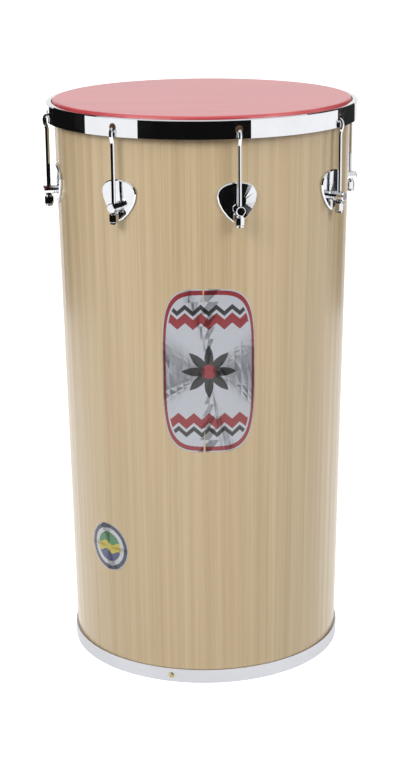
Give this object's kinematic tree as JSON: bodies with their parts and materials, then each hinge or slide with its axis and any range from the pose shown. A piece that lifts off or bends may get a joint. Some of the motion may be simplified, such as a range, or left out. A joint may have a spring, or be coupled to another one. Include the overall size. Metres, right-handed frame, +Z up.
{
  "type": "hand drum",
  "caption": "Tall free-standing hand drum: tapered pale wood shell, red head, chromed counterhoop pulled down by hook tuners with nuts, open metal-rimmed foot.",
  "frame": {"origin": "centre of the drum's open lower end, on the surface that it stands on", "axes": "+Z up along the drum's axis towards the head; -Y is the front shown in the picture; +X to the right of the front"},
  "size_m": [0.3816, 0.3816, 0.69],
  "materials": {
    "shell_wood": "clear satin lacquer over pale veneer with straight upright grain",
    "chrome": "polished chrome plate",
    "red_head": "smooth coated red head skin, soft sheen",
    "satin_rim": "satin aluminium",
    "brass_screw": "dull brass",
    "zinc_steel": "zinc plated steel"
  },
  "bodies": {
    "drum_body": {"shell": "shell_wood", "bottom_rim": "satin_rim", "rim_screw_1": "brass_screw", "rim_screw_2": "brass_screw", "rim_screw_3": "brass_screw", "drumhead": "red_head", "flesh_ring": "zinc_steel", "lug_plate_1": "chrome", "lug_plate_2": "chrome", "lug_plate_3": "chrome", "lug_plate_4": "chrome", "lug_plate_5": "chrome", "lug_plate_6": "chrome", "lug_plate_7": "chrome", "lug_plate_8": "chrome", "lug_post_1": "chrome", "lug_post_2": "chrome", "lug_post_3": "chrome", "lug_post_4": "chrome", "lug_post_5": "chrome", "lug_post_6": "chrome", "lug_post_7": "chrome", "lug_post_8": "chrome", "lug_screw_1": "zinc_steel", "lug_screw_2": "zinc_steel", "lug_screw_3": "zinc_steel", "lug_screw_4": "zinc_steel", "lug_screw_5": "zinc_steel", "lug_screw_6": "zinc_steel", "lug_screw_7": "zinc_steel", "lug_screw_8": "zinc_steel", "lug_washer_1": "zinc_steel", "lug_washer_2": "zinc_steel", "lug_washer_3": "zinc_steel", "lug_washer_4": "zinc_steel", "lug_washer_5": "zinc_steel", "lug_washer_6": "zinc_steel", "lug_washer_7": "zinc_steel", "lug_washer_8": "zinc_steel"},
    "hoop_with_hooks": {"counterhoop": "chrome", "tuning_hook_1": "chrome", "tuning_hook_2": "chrome", "tuning_hook_3": "chrome", "tuning_hook_4": "chrome", "tuning_hook_5": "chrome", "tuning_hook_6": "chrome", "tuning_hook_7": "chrome", "tuning_hook_8": "chrome"},
    "nut_1": {"tuning_nut_1": "chrome"},
    "nut_2": {"tuning_nut_2": "chrome"},
    "nut_3": {"tuning_nut_3": "chrome"},
    "nut_4": {"tuning_nut_4": "chrome"},
    "nut_5": {"tuning_nut_5": "chrome"},
    "nut_6": {"tuning_nut_6": "chrome"},
    "nut_7": {"tuning_nut_7": "chrome"},
    "nut_8": {"tuning_nut_8": "chrome"}
  },
  "joints": [
    {"name": "hoop_slide", "type": "slide", "parent": "drum_body", "child": "hoop_with_hooks", "axis": [0, 0, 1], "range_m": [0, 0.0026]},
    {"name": "nut_1_turn", "type": "hinge", "parent": "drum_body", "child": "nut_1", "pos_m": [0.04127, -0.18311, 0.573], "axis": [0, 0, 1], "range_deg": [-886, 0]},
    {"name": "nut_2_turn", "type": "hinge", "parent": "drum_body", "child": "nut_2", "pos_m": [0.15866, -0.1003, 0.573], "axis": [0, 0, 1], "range_deg": [-886, 0]},
    {"name": "nut_3_turn", "type": "hinge", "parent": "drum_body", "child": "nut_3", "pos_m": [0.18311, 0.04127, 0.573], "axis": [0, 0, 1], "range_deg": [-886, 0]},
    {"name": "nut_4_turn", "type": "hinge", "parent": "drum_body", "child": "nut_4", "pos_m": [0.1003, 0.15866, 0.573], "axis": [0, 0, 1], "range_deg": [-886, 0]},
    {"name": "nut_5_turn", "type": "hinge", "parent": "drum_body", "child": "nut_5", "pos_m": [-0.04127, 0.18311, 0.573], "axis": [0, 0, 1], "range_deg": [-886, 0]},
    {"name": "nut_6_turn", "type": "hinge", "parent": "drum_body", "child": "nut_6", "pos_m": [-0.15866, 0.1003, 0.573], "axis": [0, 0, 1], "range_deg": [-886, 0]},
    {"name": "nut_7_turn", "type": "hinge", "parent": "drum_body", "child": "nut_7", "pos_m": [-0.18311, -0.04127, 0.573], "axis": [0, 0, 1], "range_deg": [-886, 0]},
    {"name": "nut_8_turn", "type": "hinge", "parent": "drum_body", "child": "nut_8", "pos_m": [-0.1003, -0.15866, 0.573], "axis": [0, 0, 1], "range_deg": [-886, 0]}
  ],
  "couplings": [
    {"joint": "nut_1_turn", "follows": "hoop_slide", "rad_per_m": -5936.9},
    {"joint": "nut_2_turn", "follows": "hoop_slide", "rad_per_m": -5936.9},
    {"joint": "nut_3_turn", "follows": "hoop_slide", "rad_per_m": -5936.9},
    {"joint": "nut_4_turn", "follows": "hoop_slide", "rad_per_m": -5936.9},
    {"joint": "nut_5_turn", "follows": "hoop_slide", "rad_per_m": -5936.9},
    {"joint": "nut_6_turn", "follows": "hoop_slide", "rad_per_m": -5936.9},
    {"joint": "nut_7_turn", "follows": "hoop_slide", "rad_per_m": -5936.9},
    {"joint": "nut_8_turn", "follows": "hoop_slide", "rad_per_m": -5936.9}
  ]
}
